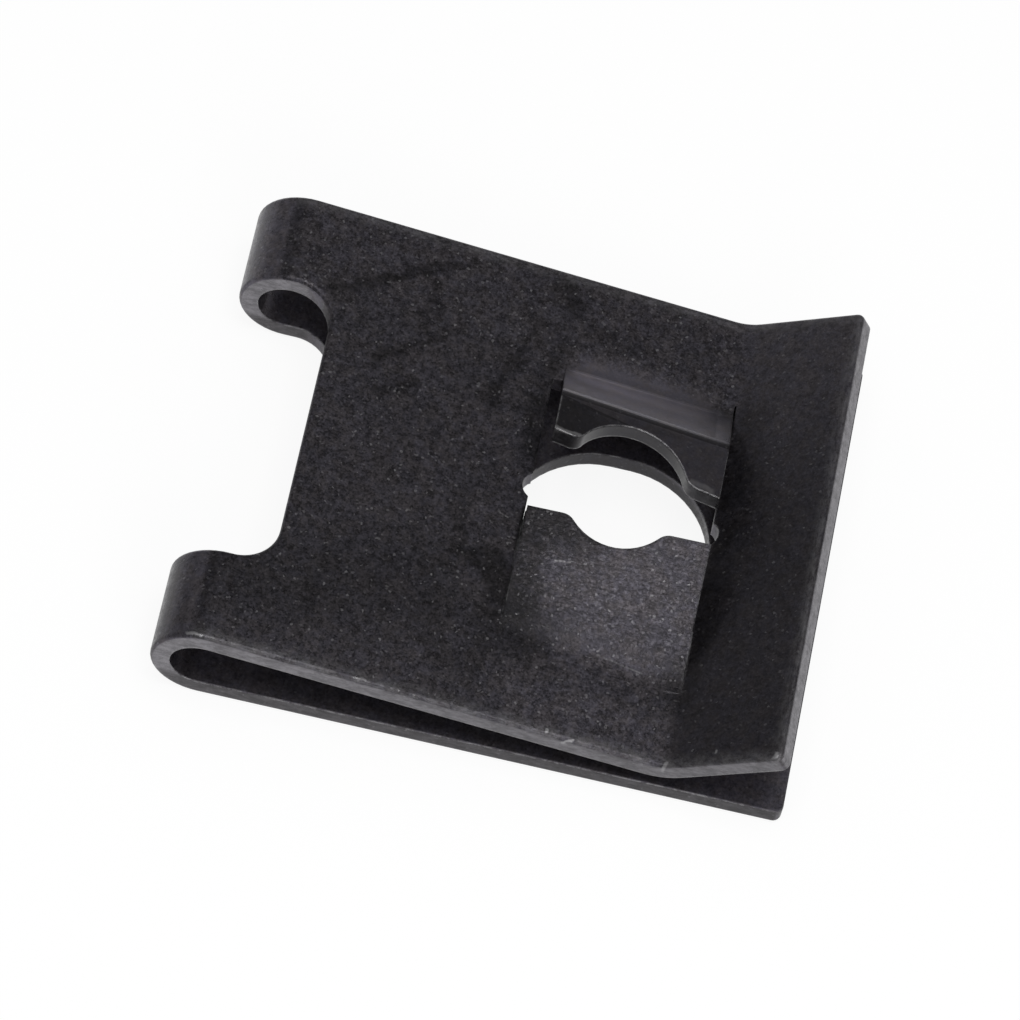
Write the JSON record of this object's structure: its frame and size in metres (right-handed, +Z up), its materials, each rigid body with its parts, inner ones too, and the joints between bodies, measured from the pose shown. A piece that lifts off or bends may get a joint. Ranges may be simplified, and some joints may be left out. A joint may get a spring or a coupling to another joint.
{
  "type": "u clip speed nut",
  "caption": "Spring steel strip folded into a U that slides over a panel edge, with twisted thread prongs raised from its upper leaf, a screw slot below and a flared lip at its mouth.",
  "frame": {"origin": "on the screw axis, at the underside of the lower leaf", "axes": "+Z up the screw axis towards the prongs, +X towards the open mouth and the lip, +Y across the strip"},
  "size_m": [0.0191, 0.016, 0.0046],
  "materials": {
    "spring_steel": "satin"
  },
  "bodies": {
    "root": {"speed_nut_clip": "spring_steel"}
  },
  "joints": []
}
